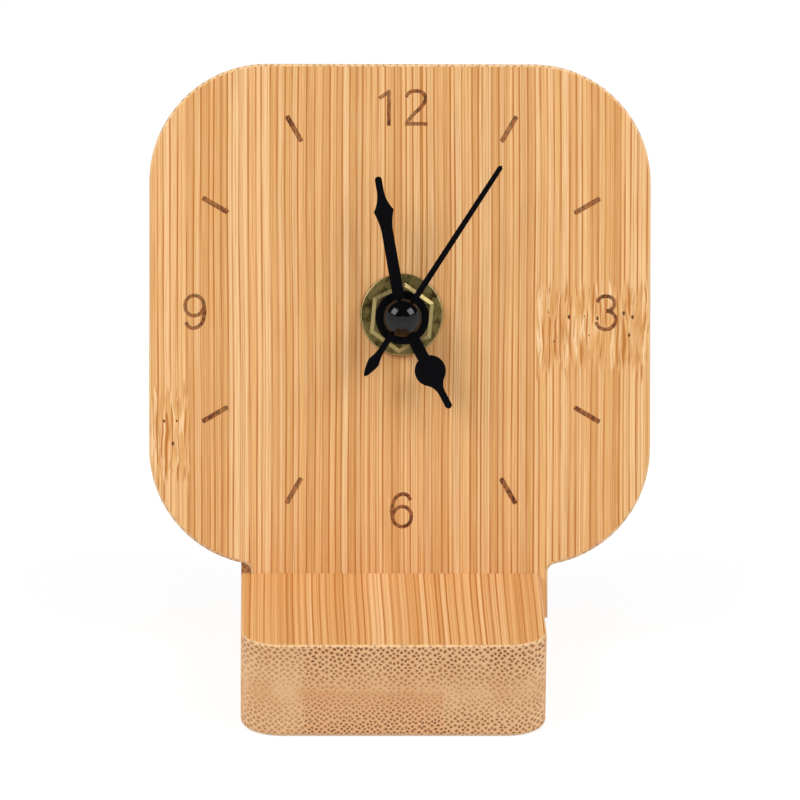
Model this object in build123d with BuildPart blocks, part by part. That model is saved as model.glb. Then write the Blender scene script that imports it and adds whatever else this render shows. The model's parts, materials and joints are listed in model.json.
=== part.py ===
from build123d import *
import math
import os

# Bamboo desk clock: a leaning face board whose tongue stands in a slotted base block, and a
# quartz movement clamped behind the board by its threaded bushing and a hexagon nut.
# Origin: middle of the block's underside. +Z is up and the dial faces -Y.

# Base block
base_width = 59.5
base_depth = 67.0
base_height = 19.0
base_corner_radius = 8.0
base_top_edge_radius = 0.6
base_foot_edge_radius = 1.2
slot_setback = 42.0
slot_depth = 8.9
slot_clearance = 0.1

# Face board
face_size = 100.0
face_corner_radius = 23.5
board_thickness = 8.0
board_edge_radius = 0.7
tongue_width = 59.1
tongue_root_radius = 1.8
shoulder_gap = 1.5
lean_angle = 17.0
board_shift = 1.85
shaft_shift = 0.3
shaft_drop = 0.55
board_hole_radius = 5.2

# Washer, nut, bushing and gasket
washer_radius = 8.2
washer_thickness = 1.0
washer_edge = 0.25
washer_slack = 0.7
washer_lift = 0.6
nut_across_flats = 12.2
nut_thickness = 2.6
nut_bevel_width = 0.75
nut_bevel_angle = 30.0
nut_chamfer = 0.45
nut_turn = 24.9
bushing_radius = 3.95
bushing_proud = 0.8
bushing_chamfer = 0.4
bushing_flange_radius = 6.5
bushing_flange_thickness = 0.8
thread_clearance = 0.05
gasket_radius = 15.0
gasket_thickness = 1.0

# Shafts, with the running clearances between them
second_arbor_radius = 0.55
minute_wall = 1.13
hour_wall = 0.67
running_clearance = 0.07
fitting_clearance = 0.02

# Hands: heights above the bushing's end, and outlines
hand_sheet = 0.4
second_sheet = 0.3
hand_gap = 0.5
minute_gap = 0.7
hour_collar_height = 0.6
hour_collar_radius = 3.5
hour_hub_radius = 5.3
hour_angle = 152.0
hour_length = 20.3
hour_shaft_half = 1.2
hour_disc_radius = 3.1
hour_disc_at = 11.9
hour_stick_half = 0.7
hour_flare_length = 4.9
minute_collar_height = 0.6
minute_collar_radius = 2.6
minute_hub_radius = 3.4
minute_angle = 350.0
minute_length = 28.4
minute_shaft_half = 1.15
minute_shoulder_half = 2.0
minute_shoulder_at = 21.5
minute_stick_half = 0.7
minute_flare_length = 4.0
second_collar_height = 0.6
second_collar_radius = 1.1
second_angle = 33.0
second_length = 36.0
second_half = 0.62
second_tip_half = 0.5
tail_length = 13.7
tail_neck_at = 7.9
tail_belly_at = 10.4
tail_belly_half = 1.2
tail_tip_half = 0.25
cap_radius = 3.75
cap_skirt = 0.5
cap_crown = 2.2
cap_socket = 0.5
cap_edge = 0.2

# Battery cell and its contacts
cell_radius = 7.1
cell_length = 50.2
cell_button_radius = 2.75
cell_button_length = 1.3
cell_edge = 0.5
cell_play = 0.15
contact_sheet = 0.4
contact_width = 8.0
contact_tab_width = 3.0
contact_play = 0.05
spring_reach = 2.35
spring_sheet = 0.3

# Movement case and cover
case_wall = 1.3
case_floor = 1.3
case_corner_radius = 4.0
case_rear_lip = 0.55
divider_thickness = 1.2
bay_play = 0.5
bay_lip = 0.8
notch_width = 12.0
notch_depth = 6.0
cover_thickness = 1.3
cover_clearance = 0.1
hook_width = 3.0
hook_thickness = 0.9
hook_length = 5.2
hook_barb = 0.5
side_hook_at = 8.0
top_hook_from_wall = 8.7
collar_radius = 3.2
collar_height = 0.5

# Wheel train: teeth, modules and the directions between arbors, in degrees from +X
addendum = 0.8
dedendum = 1.15
tip_share = 0.2
root_share = 0.5
second_teeth = 40
second_pinion_teeth = 8
third_teeth = 60
third_pinion_teeth = 8
clutch_teeth = 64
intermediate_teeth = 48
intermediate_pinion_teeth = 8
rotor_pinion_teeth = 8
cannon_teeth = 12
motion_teeth = 36
motion_pinion_teeth = 10
hour_teeth = 40
knob_teeth = 12
clutch_module = 0.28
second_module = 0.425
rotor_module = 0.3
motion_module = 0.4
third_direction = 150.0
intermediate_direction = 60.0
rotor_direction = 20.0
motion_direction = 0.0
knob_direction = 0.0

# Layers of the train, from the case floor backwards
wheel_play = 0.3
wheel_gap = 0.5
pinion_overhang = 0.2
hour_wheel_thickness = 0.9
motion_wheel_thickness = 0.8
clutch_flange_thickness = 0.5
clutch_flange_radius = 3.2
clutch_wheel_thickness = 0.8
clutch_play = 0.05
clutch_spring_sheet = 0.2
clutch_spring_radius = 4.2
clutch_spring_dish = 0.15
arbor_collar_radius = 2.6
arbor_collar_thickness = 0.4
train_wheel_thickness = 0.7
train_layer_gap = 1.0
arbor_radius = 0.5
boss_radius = 1.1
boss_hole_depth = 2.9
post_radius = 1.6
post_step_radius = 1.0
peg_radius = 0.7
motion_post_radius = 0.8
motion_seat_radius = 1.45
train_plate_thickness = 1.0
train_plate_margin = 2.6
plate_gap = 0.8

# Motor
magnet_radius = 3.0
magnet_thickness = 2.6
stator_hole_radius = 3.4
stator_ring_radius = 6.0
stator_thickness = 1.1
stator_bar_width = 3.6
stator_bar_gap = 2.7
stator_ear_width = 3.0
coil_flange_radius = 4.6
coil_flange_thickness = 0.8
coil_radius = 4.1
coil_tube_radius = 2.3
coil_length = 20.0
coil_middle = -2.0
coil_gap = 0.7
core_width = 3.0
core_thickness = 1.2
core_clearance = 0.06

# Circuit board
circuit_end_gap = 1.7
circuit_width = 6.6
circuit_thickness = 0.8
circuit_layer_gap = 1.2
chip_radius = 2.0
chip_height = 1.1
chip_from_end = 13.0
crystal_radius = 1.0
crystal_length = 6.0
crystal_from_end = 5.5

# Setting knob
knob_radius = 6.0
knob_thickness = 3.4
knob_gap = 0.3
knob_flutes = 12
knob_flute_radius = 0.9
knob_edge = 0.4
stem_radius = 1.2

# Train-plate posts: distances from the side walls, and heights above or below the shaft
left_post_from_wall = 5.2
left_post_up = 5.0
right_post_from_wall = 5.2
right_post_up = 5.2
left_circuit_post_from_wall = 12.7
right_circuit_post_from_wall = 9.2
circuit_post_from_edge = 2.8

# The board's own directions, and the planes that carry everything on it
lean = math.radians(lean_angle)
board_up = Vector(0, math.sin(lean), math.cos(lean))
board_out = Vector(0, -math.cos(lean), math.sin(lean))
slot_mouth = Vector(board_shift, slot_setback - base_depth / 2, base_height)
face_centre = slot_mouth + board_up * (shoulder_gap + face_size / 2)
shaft_foot = face_centre + Vector(shaft_shift, 0, 0) - board_up * shaft_drop
face_plane = Plane(origin=face_centre, x_dir=(1, 0, 0), z_dir=board_out)
shaft_plane = Plane(origin=shaft_foot, x_dir=(1, 0, 0), z_dir=board_out)
case_front = -(board_thickness + gasket_thickness)
case_plane = shaft_plane.offset(case_front)
turning_plane = Plane(origin=shaft_foot, x_dir=(1, 0, 0), z_dir=-board_up)
shaft_axis = Axis(origin=shaft_foot, direction=board_out)
dial_axis = Axis(origin=face_centre, direction=board_out)


def before(height):
    """Plane parallel to the dial, this far in front of it, centred on the shaft."""
    return shaft_plane.offset(height)


def behind(depth):
    """Plane parallel to the dial, this far behind the movement's front, centred on the shaft."""
    return case_plane.offset(-depth)


def spot(right, up, depth):
    """World point from distances right of and above the shaft, and behind the movement's front."""
    return case_plane.from_local_coords(Vector(right, up, -depth))


def sideways(right, up, depth):
    """Plane that faces +X there. Its own x runs up the board and its y out of the dial."""
    return Plane(origin=spot(right, up, depth), x_dir=board_up, z_dir=(1, 0, 0))


def level(up):
    """Plane square to the board's up direction. Its x is +X and its y the depth into the case."""
    return Plane(origin=spot(0, up, 0), x_dir=(1, 0, 0), z_dir=board_up)


def polar(distance, direction, start=(0, 0)):
    """Point at this distance and direction from the start."""
    angle = math.radians(direction)
    return (start[0] + distance * math.cos(angle), start[1] + distance * math.sin(angle))


def tip_radius(teeth, module):
    return teeth * module / 2 + addendum * module


def gear_points(teeth, module, phase, at):
    """Corners of straight-flanked teeth round the point, one tooth standing at the phase."""
    pitch_radius = teeth * module / 2
    root = pitch_radius - dedendum * module
    tip = pitch_radius + addendum * module
    step = 360 / teeth
    corners = []
    for tooth in range(teeth):
        middle = phase + tooth * step
        corners.append(polar(root, middle - root_share * step / 2, at))
        corners.append(polar(tip, middle - tip_share * step / 2, at))
        corners.append(polar(tip, middle + tip_share * step / 2, at))
        corners.append(polar(root, middle + root_share * step / 2, at))
    return corners


def meshed(phase, teeth, direction, other_teeth):
    """Phase of the wheel that lies in this direction and meshes with one of the given phase."""
    place = (direction - phase) * teeth / 360
    return direction + 180 - (0.5 - place) * 360 / other_teeth


def add_gear(plane, thickness, teeth, module, phase, at=(0, 0)):
    with BuildSketch(plane) as profile:
        with BuildLine():
            Polyline(*gear_points(teeth, module, phase, at), close=True)
        make_face()
    extrude(profile.sketch, amount=-thickness)


def add_disc(plane, thickness, radius, at=(0, 0), mode=Mode.ADD):
    with BuildSketch(plane) as profile:
        with Locations(at):
            Circle(radius)
    extrude(profile.sketch, amount=-thickness, mode=mode)


def add_block(plane, thickness, low, high, mode=Mode.ADD):
    """Straight block behind the plane, between two corners of its outline."""
    with BuildSketch(plane) as profile:
        with Locations(((low[0] + high[0]) / 2, (low[1] + high[1]) / 2)):
            Rectangle(high[0] - low[0], high[1] - low[1])
    extrude(profile.sketch, amount=-thickness, mode=mode)


def add_turned(points, mode=Mode.ADD):
    """Ring turned about the shaft from an outline of (radius, height above the dial) points."""
    with BuildSketch(turning_plane) as profile:
        with BuildLine():
            Polyline(*points, close=True)
        make_face()
    revolve(profile.sketch, axis=shaft_axis, mode=mode)


# Radii of the three nested shafts
minute_bore = second_arbor_radius + running_clearance
minute_radius = minute_bore + minute_wall
hour_bore = minute_radius + running_clearance
hour_radius = hour_bore + hour_wall
bushing_bore = hour_radius + running_clearance

# Heights in front of the dial
nut_height = washer_thickness
bushing_end = nut_height + nut_thickness + bushing_proud
hour_collar_low = bushing_end + wheel_play
hour_low = hour_collar_low + hour_collar_height
hour_top = hour_low + hand_sheet
minute_collar_low = hour_top + hand_gap
minute_low = minute_collar_low + minute_collar_height
minute_top = minute_low + hand_sheet
second_collar_low = minute_top + hand_gap
second_low = second_collar_low + second_collar_height
second_top = second_low + second_sheet
arbor_end = second_top + cap_socket

# Arbor places
clutch_distance = (clutch_teeth + third_pinion_teeth) * clutch_module / 2
third_module = 2 * clutch_distance / (third_teeth + second_pinion_teeth)
third_at = polar(clutch_distance, third_direction)
intermediate_distance = (second_teeth + intermediate_pinion_teeth) * second_module / 2
intermediate_at = polar(intermediate_distance, intermediate_direction)
rotor_distance = (intermediate_teeth + rotor_pinion_teeth) * rotor_module / 2
rotor_at = polar(rotor_distance, rotor_direction, intermediate_at)
motion_distance = (motion_teeth + cannon_teeth) * motion_module / 2
hour_module = 2 * motion_distance / (hour_teeth + motion_pinion_teeth)
motion_at = polar(motion_distance, motion_direction)
knob_distance = (motion_teeth + knob_teeth) * motion_module / 2
knob_at = polar(knob_distance, knob_direction, motion_at)

# Depths behind the movement's front
hour_wheel_depth = case_floor + bushing_flange_thickness + wheel_play
motion_wheel_depth = hour_wheel_depth + hour_wheel_thickness + wheel_gap
cannon_depth = motion_wheel_depth - pinion_overhang
cannon_thickness = motion_wheel_thickness + 2 * pinion_overhang
clutch_flange_depth = cannon_depth + cannon_thickness
clutch_wheel_depth = clutch_flange_depth + clutch_flange_thickness + clutch_play
clutch_spring_depth = clutch_wheel_depth + clutch_wheel_thickness + clutch_play
arbor_collar_depth = clutch_spring_depth + clutch_spring_dish + clutch_spring_sheet + clutch_play
minute_arbor_depth = arbor_collar_depth + arbor_collar_thickness
third_wheel_depth = minute_arbor_depth + wheel_gap
second_wheel_depth = third_wheel_depth + train_wheel_thickness + train_layer_gap
intermediate_wheel_depth = second_wheel_depth + train_wheel_thickness + train_layer_gap
train_plate_depth = intermediate_wheel_depth + train_wheel_thickness + plate_gap
train_plate_rear = train_plate_depth + train_plate_thickness
pinion_thickness = train_wheel_thickness + 2 * pinion_overhang
boss_top = clutch_flange_depth
circuit_depth = second_wheel_depth + train_wheel_thickness + circuit_layer_gap
circuit_rear = circuit_depth + circuit_thickness

# Case outline: the train room over the divider, the battery bay under it
train_room_low = tip_radius(clutch_teeth, clutch_module) + 1.1
stator_bar_low = tip_radius(clutch_teeth, clutch_module) + stator_bar_gap
stator_bar_top = stator_bar_low + stator_bar_width
coil_up = stator_bar_top + coil_gap + coil_flange_radius
train_room_high = coil_up + coil_flange_radius + coil_gap * 2
bay_height = 2 * (cell_radius + bay_play)
bay_high = -(train_room_low + divider_thickness)
bay_low = bay_high - bay_height
case_high = train_room_high + case_wall
case_low = bay_low - case_wall
case_middle = (case_high + case_low) / 2
case_height = case_high - case_low
room_half_width = (cell_length + spring_reach + 2 * contact_sheet + contact_play) / 2
case_width = 2 * (room_half_width + case_wall)
cell_up = (bay_high + bay_low) / 2
cell_depth = case_floor + cell_play + cell_radius
case_depth = cell_depth + cell_radius + case_rear_lip
cover_depth = case_depth - cover_thickness
cell_right = room_half_width - contact_sheet - contact_play
cell_left = cell_right - cell_length

circuit_length = 2 * (room_half_width - circuit_end_gap)
circuit_low = -(train_room_low - wheel_gap)
circuit_high = circuit_low + circuit_width
circuit_middle = (circuit_low + circuit_high) / 2
circuit_post_up = circuit_low + circuit_post_from_edge
crystal_at = -(circuit_length / 2 - crystal_from_end)
chip_at = circuit_length / 2 - chip_from_end
top_hook_at = room_half_width - top_hook_from_wall
left_post = (-(room_half_width - left_post_from_wall), left_post_up)
right_post = (room_half_width - right_post_from_wall, right_post_up)
left_circuit_post = (-(room_half_width - left_circuit_post_from_wall), circuit_post_up)
right_circuit_post = (room_half_width - right_circuit_post_from_wall, circuit_post_up)

# Motor depths
stator_depth = clutch_wheel_depth - wheel_gap
stator_rear = stator_depth + stator_thickness
coil_depth = stator_rear + core_thickness / 2
magnet_depth = stator_depth - wheel_play
stator_left = coil_middle - coil_length / 2 - stator_ear_width
stator_right = coil_middle + coil_length / 2 + stator_ear_width
left_stator_post = (stator_left + stator_ear_width / 2, (stator_bar_low + stator_bar_top) / 2)
right_stator_post = (stator_right, coil_up)
right_ear_edge = stator_right + stator_ear_width / 2
stator_ear_top = coil_up + core_width / 2 + stator_ear_width / 4

# Tooth phases, each worked out from the wheel that it meshes with
second_phase = 0.0
third_phase = meshed(second_phase, second_pinion_teeth, third_direction, third_teeth)
clutch_phase = meshed(0.0, third_pinion_teeth, third_direction + 180, clutch_teeth)
intermediate_phase = meshed(second_phase, second_teeth, intermediate_direction, intermediate_pinion_teeth)
rotor_phase = meshed(0.0, intermediate_teeth, rotor_direction, rotor_pinion_teeth)
motion_phase = meshed(0.0, cannon_teeth, motion_direction, motion_teeth)
hour_phase = meshed(0.0, motion_pinion_teeth, motion_direction + 180, hour_teeth)
knob_phase = meshed(motion_phase, motion_teeth, knob_direction, knob_teeth)

# Base block with the leaning slot
with BuildPart() as base_block:
    with BuildSketch(Plane.XY):
        RectangleRounded(base_width, base_depth, base_corner_radius)
    extrude(amount=base_height)
    fillet(base_block.faces().sort_by(Axis.Z)[-1].edges(), radius=base_top_edge_radius)
    fillet(base_block.faces().sort_by(Axis.Z)[0].edges(), radius=base_foot_edge_radius)
    slot_floor = -(face_size / 2 + shoulder_gap + slot_depth)
    with BuildSketch(face_plane.offset(slot_clearance)):
        with Locations((-board_shift, slot_floor + slot_depth)):
            Rectangle(base_width + 2, 2 * slot_depth)
    extrude(amount=-(board_thickness + 2 * slot_clearance), mode=Mode.SUBTRACT)
base_block.part.label = "base_block"


def at_tongue_side(corner):
    """True for the outline's corners that lie on the sides of the tongue."""
    return abs(abs(corner.X) - tongue_width / 2) < board_edge_radius / 10


# Face board: rounded square, tongue and shaft hole
tongue_length = shoulder_gap + slot_depth
with BuildPart() as face_board:
    with BuildSketch(face_plane) as board_outline:
        RectangleRounded(face_size, face_size, face_corner_radius)
        with Locations((0, -face_size / 2)):
            Rectangle(tongue_width, 2 * tongue_length)
        tongue_corners = board_outline.vertices().filter_by(at_tongue_side).sort_by(Axis.Y)
        fillet(tongue_corners[-2:], radius=tongue_root_radius)
    extrude(amount=-board_thickness)
    board_faces = face_board.faces().filter_by(dial_axis).sort_by(dial_axis)
    fillet(board_faces[-1].edges() + board_faces[0].edges(), radius=board_edge_radius)
    with BuildSketch(shaft_plane):
        Circle(board_hole_radius)
    extrude(amount=-board_thickness, mode=Mode.SUBTRACT)
face_board.part.label = "face_board"

# Washer, which hangs a little high on the bushing
washer_hole_radius = bushing_radius + washer_slack
with BuildPart() as dial_washer:
    with BuildSketch(shaft_plane):
        with Locations((0, washer_lift)):
            Circle(washer_radius)
            Circle(washer_hole_radius, mode=Mode.SUBTRACT)
    extrude(amount=washer_thickness)
    washer_faces = dial_washer.faces().filter_by(shaft_axis).sort_by(shaft_axis)
    chamfer(washer_faces[-1].outer_wire().edges(), length=washer_edge)
dial_washer.part.label = "dial_washer"

# Nut with bevelled front edges and its rear corners turned off
nut_corner_radius = nut_across_flats / 2 / math.cos(math.pi / 6)
nut_top = nut_height + nut_thickness
with BuildPart() as hex_nut:
    with BuildSketch(before(nut_height)):
        RegularPolygon(nut_corner_radius, 6, rotation=nut_turn)
        Circle(bushing_radius + thread_clearance, mode=Mode.SUBTRACT)
    extrude(amount=nut_thickness)
    nut_faces = hex_nut.faces().filter_by(shaft_axis).sort_by(shaft_axis)
    chamfer(
        nut_faces[-1].outer_wire().edges(),
        length=nut_bevel_width,
        length2=nut_bevel_width * math.tan(math.radians(nut_bevel_angle)),
        reference=nut_faces[-1],
    )
    nut_face_radius = nut_across_flats / 2 - nut_chamfer / 3
    add_turned(
        [
            (0, nut_height),
            (nut_face_radius, nut_height),
            (nut_corner_radius + nut_chamfer, nut_height + 2 * nut_chamfer),
            (nut_corner_radius + nut_chamfer, nut_top),
            (0, nut_top),
        ],
        mode=Mode.INTERSECT,
    )
hex_nut.part.label = "hex_nut"

# Bushing with the flange that holds it in the case
flange_front = case_front - case_floor
flange_rear = flange_front - bushing_flange_thickness
with BuildPart() as shaft_bushing:
    add_turned(
        [
            (bushing_bore, flange_rear),
            (bushing_flange_radius, flange_rear),
            (bushing_flange_radius, flange_front),
            (bushing_radius, flange_front),
            (bushing_radius, bushing_end - bushing_chamfer),
            (bushing_radius - bushing_chamfer, bushing_end),
            (bushing_bore, bushing_end),
        ]
    )
shaft_bushing.part.label = "shaft_bushing"

# Rubber gasket between board and movement
with BuildPart() as movement_gasket:
    with BuildSketch(before(-board_thickness)):
        Circle(gasket_radius)
        Circle(bushing_radius + fitting_clearance, mode=Mode.SUBTRACT)
    extrude(amount=-gasket_thickness)
movement_gasket.part.label = "movement_gasket"

# Movement case: shell, divider, bosses, posts and snap windows
pivot_bosses = (third_at, intermediate_at, rotor_at, knob_at)
tab_channel_low = cell_up + contact_width / 2 - contact_tab_width
tab_channel_high = -(train_room_low - contact_tab_width - 2)
with BuildPart() as movement_case:
    with BuildSketch(case_plane):
        with Locations((0, case_middle)):
            RectangleRounded(case_width, case_height, case_corner_radius)
    extrude(amount=-case_depth)
    with BuildSketch(behind(case_floor)):
        with Locations((0, (train_room_high - train_room_low) / 2)):
            RectangleRounded(
                2 * room_half_width,
                train_room_high + train_room_low,
                case_corner_radius - case_wall,
            )
        with Locations((0, cell_up)):
            RectangleRounded(2 * room_half_width, bay_height, case_corner_radius - case_wall)
    extrude(amount=-case_depth, mode=Mode.SUBTRACT)
    add_block(
        behind(cover_depth),
        case_depth,
        (-case_width, bay_high - cover_clearance),
        (case_width, case_high + 1),
        mode=Mode.SUBTRACT,
    )
    add_disc(case_plane, case_floor, bushing_radius + fitting_clearance, mode=Mode.SUBTRACT)
    for place in pivot_bosses:
        boss_end = boss_top if place in (third_at, intermediate_at) else magnet_depth - wheel_play
        boss_end = cannon_depth - wheel_play if place == knob_at else boss_end
        add_disc(behind(case_floor), boss_end - case_floor, boss_radius, place)
        add_disc(
            behind(boss_end),
            -(boss_hole_depth if boss_end > 4 else boss_hole_depth - 1.5),
            arbor_radius + running_clearance,
            place,
            mode=Mode.SUBTRACT,
        )
    motion_post_end = clutch_wheel_depth - wheel_play
    motion_seat_end = hour_wheel_depth - pinion_overhang - clutch_play
    add_disc(behind(case_floor), motion_seat_end - case_floor, motion_seat_radius, motion_at)
    add_disc(behind(case_floor), motion_post_end - case_floor, motion_post_radius, motion_at)
    for place in (left_post, right_post):
        add_disc(behind(case_floor), train_plate_depth - case_floor, post_radius, place)
        add_disc(behind(train_plate_depth), train_plate_thickness, peg_radius, place)
    for place in (left_circuit_post, right_circuit_post):
        add_disc(behind(case_floor), circuit_depth - case_floor, post_radius, place)
        add_disc(behind(circuit_depth), train_plate_depth - circuit_depth, post_step_radius, place)
        add_disc(behind(train_plate_depth), train_plate_thickness, peg_radius, place)
    for place in (left_stator_post, right_stator_post):
        add_disc(behind(case_floor), stator_depth - case_floor, post_radius, place)
    add_disc(behind(stator_depth), stator_thickness, peg_radius, left_stator_post)
    for side in (-1, 1):
        channel = sorted((side * room_half_width, side * (room_half_width - 2 * contact_sheet)))
        add_block(
            behind(circuit_rear - contact_tab_width - contact_play),
            contact_tab_width + contact_sheet + 4 * contact_play,
            (channel[0], tab_channel_low),
            (channel[1], tab_channel_high),
            mode=Mode.SUBTRACT,
        )
        wall = sorted((side * room_half_width, side * case_width))
        add_block(
            behind(cover_depth - hook_length - cover_clearance),
            hook_length / 3 + 2 * cover_clearance,
            (wall[0], side_hook_at - hook_width / 2 - cover_clearance),
            (wall[1], side_hook_at + hook_width / 2 + cover_clearance),
            mode=Mode.SUBTRACT,
        )
        add_block(
            behind(cover_depth - hook_length - cover_clearance),
            hook_length / 3 + 2 * cover_clearance,
            (side * top_hook_at - hook_width / 2 - cover_clearance, train_room_high),
            (side * top_hook_at + hook_width / 2 + cover_clearance, case_high + 1),
            mode=Mode.SUBTRACT,
        )
        add_block(
            behind(case_depth - bay_lip),
            bay_lip,
            (side * room_half_width / 2 - hook_width, bay_low),
            (side * room_half_width / 2 + hook_width, bay_low + bay_lip),
        )
    add_block(
        behind(case_depth - notch_depth),
        case_depth,
        (-notch_width / 2, case_low - 1),
        (notch_width / 2, bay_low),
        mode=Mode.SUBTRACT,
    )
movement_case.part.label = "movement_case"

# Cover with four snap hooks and the knob's collar
hook_profile = [
    (-cover_clearance - hook_thickness, cover_depth),
    (-cover_clearance, cover_depth),
    (-cover_clearance, cover_depth - hook_length * 2 / 3),
    (hook_barb, cover_depth - hook_length * 2 / 3),
    (-cover_clearance, cover_depth - hook_length),
    (-cover_clearance - hook_thickness, cover_depth - hook_length),
]
with BuildPart() as movement_cover:
    with BuildSketch(behind(cover_depth)):
        with Locations((0, case_middle)):
            RectangleRounded(case_width, case_height, case_corner_radius)
        with Locations((0, bay_high - case_height / 2)):
            Rectangle(2 * case_width, case_height, mode=Mode.SUBTRACT)
        with Locations(knob_at):
            Circle(stem_radius + running_clearance, mode=Mode.SUBTRACT)
    extrude(amount=-cover_thickness)
    with BuildSketch(behind(case_depth)):
        with Locations(knob_at):
            Circle(collar_radius)
            Circle(stem_radius + running_clearance, mode=Mode.SUBTRACT)
    extrude(amount=-collar_height)
    for side in (-1, 1):
        with BuildSketch(level(side_hook_at - hook_width / 2)):
            with BuildLine():
                Polyline(
                    *[(side * (room_half_width + across), depth) for across, depth in hook_profile],
                    close=True,
                )
            make_face()
        extrude(amount=hook_width)
        with BuildSketch(sideways(side * top_hook_at - hook_width / 2, train_room_high, 0)):
            with BuildLine():
                Polyline(*[(across, -depth) for across, depth in hook_profile], close=True)
            make_face()
        extrude(amount=hook_width)
movement_cover.part.label = "movement_cover"

# Train plate: a hull round the posts and pivots
plate_posts = (left_post, right_post, left_circuit_post, right_circuit_post)
plate_pivots = ((0, 0), third_at, intermediate_at, rotor_at)
with BuildPart() as train_plate:
    with BuildSketch(behind(train_plate_depth)):
        with Locations(*plate_posts, third_at, rotor_at, knob_at):
            Circle(train_plate_margin)
        make_hull()
        with Locations(*plate_posts):
            Circle(peg_radius + running_clearance, mode=Mode.SUBTRACT)
        with Locations(*plate_pivots):
            Circle(arbor_radius + running_clearance, mode=Mode.SUBTRACT)
        with Locations((0, 0)):
            Circle(second_arbor_radius + running_clearance, mode=Mode.SUBTRACT)
        with Locations(knob_at):
            Circle(stem_radius + wheel_play, mode=Mode.SUBTRACT)
    extrude(amount=-train_plate_thickness)
train_plate.part.label = "train_plate"

# Hour wheel and its tube
with BuildPart() as hour_wheel:
    add_gear(behind(hour_wheel_depth), hour_wheel_thickness, hour_teeth, hour_module, hour_phase)
    add_disc(before(hour_top), hour_top - case_front + hour_wheel_depth, hour_radius)
    add_disc(before(hour_top), case_depth + hour_top, hour_bore, mode=Mode.SUBTRACT)
hour_wheel.part.label = "hour_wheel"

# Minute arbor with the cannon pinion, the clutch flange and the rear collar
with BuildPart() as minute_arbor:
    add_disc(before(minute_top), minute_top - case_front + minute_arbor_depth, minute_radius)
    add_gear(behind(cannon_depth), cannon_thickness, cannon_teeth, motion_module, 0)
    add_disc(behind(clutch_flange_depth), clutch_flange_thickness, clutch_flange_radius)
    add_disc(behind(arbor_collar_depth), arbor_collar_thickness, arbor_collar_radius)
    add_disc(before(minute_top + 1), 2 * case_depth, minute_bore, mode=Mode.SUBTRACT)
minute_arbor.part.label = "minute_arbor"

# Clutch wheel, a ring of teeth that the spring presses against the flange
with BuildPart() as clutch_wheel:
    add_gear(behind(clutch_wheel_depth), clutch_wheel_thickness, clutch_teeth, clutch_module, clutch_phase)
    add_disc(
        behind(clutch_wheel_depth),
        clutch_wheel_thickness,
        minute_radius + running_clearance,
        mode=Mode.SUBTRACT,
    )
clutch_wheel.part.label = "clutch_wheel"

# Dished spring washer between clutch wheel and collar
spring_inner = minute_radius + fitting_clearance
spring_front = case_front - clutch_spring_depth
with BuildPart() as clutch_spring:
    add_turned(
        [
            (spring_inner, spring_front - clutch_spring_dish),
            (clutch_spring_radius, spring_front),
            (clutch_spring_radius, spring_front - clutch_spring_sheet),
            (spring_inner, spring_front - clutch_spring_dish - clutch_spring_sheet),
        ]
    )
clutch_spring.part.label = "clutch_spring"

# Motion wheel: thirty-six teeth behind, ten in front, running on a post of the case
with BuildPart() as motion_wheel:
    add_gear(behind(motion_wheel_depth), motion_wheel_thickness, motion_teeth, motion_module, motion_phase, motion_at)
    add_gear(
        behind(hour_wheel_depth - pinion_overhang),
        motion_wheel_depth - hour_wheel_depth + pinion_overhang,
        motion_pinion_teeth,
        hour_module,
        0,
        motion_at,
    )
    add_disc(case_plane, case_depth, motion_post_radius + running_clearance, motion_at, mode=Mode.SUBTRACT)
motion_wheel.part.label = "motion_wheel"

# Third wheel
arbor_front = boss_top - boss_hole_depth + wheel_play
with BuildPart() as third_wheel:
    add_disc(behind(arbor_front), train_plate_rear - arbor_front, arbor_radius, third_at)
    add_gear(
        behind(clutch_wheel_depth - pinion_overhang),
        clutch_wheel_thickness + 2 * pinion_overhang,
        third_pinion_teeth,
        clutch_module,
        0,
        third_at,
    )
    add_gear(behind(third_wheel_depth), train_wheel_thickness, third_teeth, third_module, third_phase, third_at)
third_wheel.part.label = "third_wheel"

# Second wheel on the long arbor that reaches through the dial
with BuildPart() as second_wheel:
    add_disc(before(arbor_end), arbor_end - case_front + train_plate_rear, second_arbor_radius)
    add_gear(
        behind(third_wheel_depth - pinion_overhang),
        pinion_thickness,
        second_pinion_teeth,
        third_module,
        second_phase,
    )
    add_gear(behind(second_wheel_depth), train_wheel_thickness, second_teeth, second_module, second_phase)
second_wheel.part.label = "second_wheel"

# Intermediate wheel
with BuildPart() as intermediate_wheel:
    add_disc(behind(arbor_front), train_plate_rear - arbor_front, arbor_radius, intermediate_at)
    add_gear(
        behind(second_wheel_depth - pinion_overhang),
        pinion_thickness,
        intermediate_pinion_teeth,
        second_module,
        intermediate_phase,
        intermediate_at,
    )
    add_gear(
        behind(intermediate_wheel_depth),
        train_wheel_thickness,
        intermediate_teeth,
        rotor_module,
        0,
        intermediate_at,
    )
intermediate_wheel.part.label = "intermediate_wheel"

# Rotor: magnet in front, pinion behind
rotor_front = magnet_depth - wheel_play - boss_hole_depth / 2 + wheel_play
with BuildPart() as motor_rotor:
    add_disc(behind(rotor_front), train_plate_rear - rotor_front, arbor_radius, rotor_at)
    add_disc(behind(magnet_depth), magnet_thickness, magnet_radius, rotor_at)
    add_gear(
        behind(intermediate_wheel_depth - pinion_overhang),
        pinion_thickness,
        rotor_pinion_teeth,
        rotor_module,
        rotor_phase,
        rotor_at,
    )
motor_rotor.part.label = "motor_rotor"

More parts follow.
